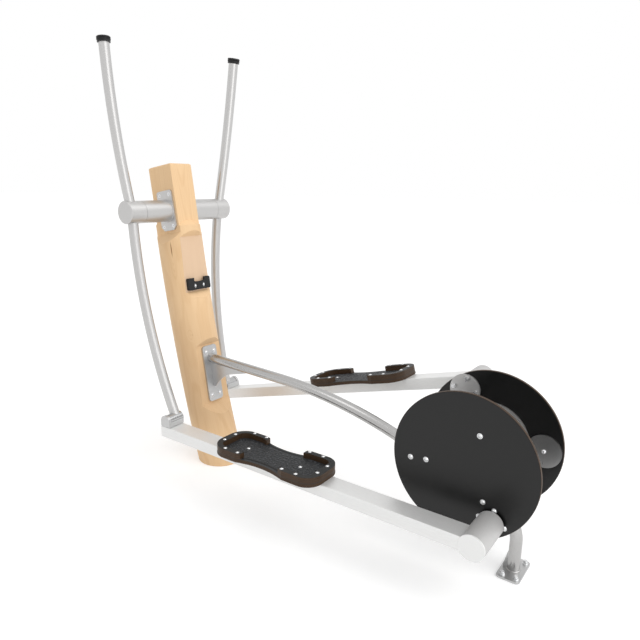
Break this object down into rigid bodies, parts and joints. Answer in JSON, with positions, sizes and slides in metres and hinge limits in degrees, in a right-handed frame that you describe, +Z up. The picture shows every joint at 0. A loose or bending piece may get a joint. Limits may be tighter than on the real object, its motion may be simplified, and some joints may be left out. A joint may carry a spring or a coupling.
{
  "type": "outdoor cross trainer",
  "caption": "Outdoor cross trainer: leaning wooden post, two swinging handle arms linked to foot plate beams, driven by a crank between two large discs.",
  "frame": {"origin": "centre of the post's foot on the ground", "axes": "+X to the rear, towards the crank; +Y to the user's right; +Z up"},
  "size_m": [1.8429, 0.735, 1.8281],
  "materials": {
    "wood": "planed and oiled, light",
    "stainless_tube": "satin",
    "steel_plate": "satin",
    "machined_steel": "turned",
    "bolt_steel": "bright",
    "black_plastic": "matte",
    "disc_board": "matte black faces with a brown core",
    "tread_rubber": "pebbled",
    "brown_board": "matte laminate, brown core"
  },
  "bodies": {
    "frame": {"post": "wood", "hub_bracket_left": "stainless_tube", "hub_bracket_right": "stainless_tube", "hub_axle": "stainless_tube", "hub_screws": "bolt_steel", "post_plate": "steel_plate", "post_plate_bolts": "bolt_steel", "stay_tube": "stainless_tube", "stay_gusset": "stainless_tube", "base_plate": "steel_plate", "base_bolts": "bolt_steel", "crank_bracket": "stainless_tube", "crank_housing": "stainless_tube", "crank_bearings": "machined_steel", "phone_holder": "black_plastic", "holder_screws": "bolt_steel"},
    "left_arm": {"arm_sleeve_left": "stainless_tube", "arm_end_cap_left": "stainless_tube", "arm_bearings_left": "machined_steel", "handle_tube_left": "stainless_tube", "handle_cap_left": "black_plastic", "lower_tube_left": "stainless_tube", "pivot_barrel_left": "stainless_tube"},
    "right_arm": {"arm_sleeve_right": "stainless_tube", "arm_end_cap_right": "stainless_tube", "arm_bearings_right": "machined_steel", "handle_tube_right": "stainless_tube", "handle_cap_right": "black_plastic", "lower_tube_right": "stainless_tube", "pivot_barrel_right": "stainless_tube"},
    "left_beam": {"beam_left": "stainless_tube", "pivot_bracket_left": "stainless_tube", "pivot_pin_left": "machined_steel", "crank_sleeve_left": "stainless_tube", "sleeve_cap_left": "stainless_tube", "foot_board_left": "brown_board", "foot_tread_left": "tread_rubber", "toe_rim_left": "brown_board", "heel_rim_left": "brown_board", "foot_bolts_left": "bolt_steel"},
    "right_beam": {"beam_right": "stainless_tube", "pivot_bracket_right": "stainless_tube", "pivot_pin_right": "machined_steel", "crank_sleeve_right": "stainless_tube", "sleeve_cap_right": "stainless_tube", "foot_board_right": "brown_board", "foot_tread_right": "tread_rubber", "toe_rim_right": "brown_board", "heel_rim_right": "brown_board", "foot_bolts_right": "bolt_steel"},
    "crank": {"crank_axle": "stainless_tube", "disc_left": "disc_board", "disc_right": "disc_board", "crank_hub_left": "stainless_tube", "crank_hub_right": "stainless_tube", "crank_pin_left": "stainless_tube", "crank_pin_right": "stainless_tube", "balance_plates": "steel_plate", "disc_bolts": "bolt_steel"}
  },
  "joints": [
    {"name": "crank_turn", "type": "hinge", "parent": "frame", "child": "crank", "pos_m": [1.24, 0, 0.4], "axis": [0, 1, 0], "range_deg": [-25, 25]},
    {"name": "left_arm_swing", "type": "hinge", "parent": "frame", "child": "left_arm", "pos_m": [-0.236, -0.251, 1.1444], "axis": [0, 1, 0], "range_deg": [-4.7, 4.7]},
    {"name": "right_arm_swing", "type": "hinge", "parent": "frame", "child": "right_arm", "pos_m": [-0.236, 0.251, 1.1444], "axis": [0, 1, 0], "range_deg": [-5.29, 5.29]},
    {"name": "left_beam_pivot", "type": "hinge", "parent": "left_arm", "child": "left_beam", "pos_m": [-0.01114, -0.272, 0.27966], "axis": [0, 1, 0], "range_deg": [-3.43, 3.43]},
    {"name": "right_beam_pivot", "type": "hinge", "parent": "right_arm", "child": "right_beam", "pos_m": [-0.19767, 0.272, 0.25172], "axis": [0, 1, 0], "range_deg": [-3.35, 3.35]}
  ],
  "couplings": [
    {"joint": "left_arm_swing", "follows": "crank_turn", "ratio": 0.18552},
    {"joint": "right_arm_swing", "follows": "crank_turn", "ratio": -0.20913},
    {"joint": "left_beam_pivot", "follows": "crank_turn", "ratio": -0.13473},
    {"joint": "right_beam_pivot", "follows": "crank_turn", "ratio": 0.13158}
  ]
}
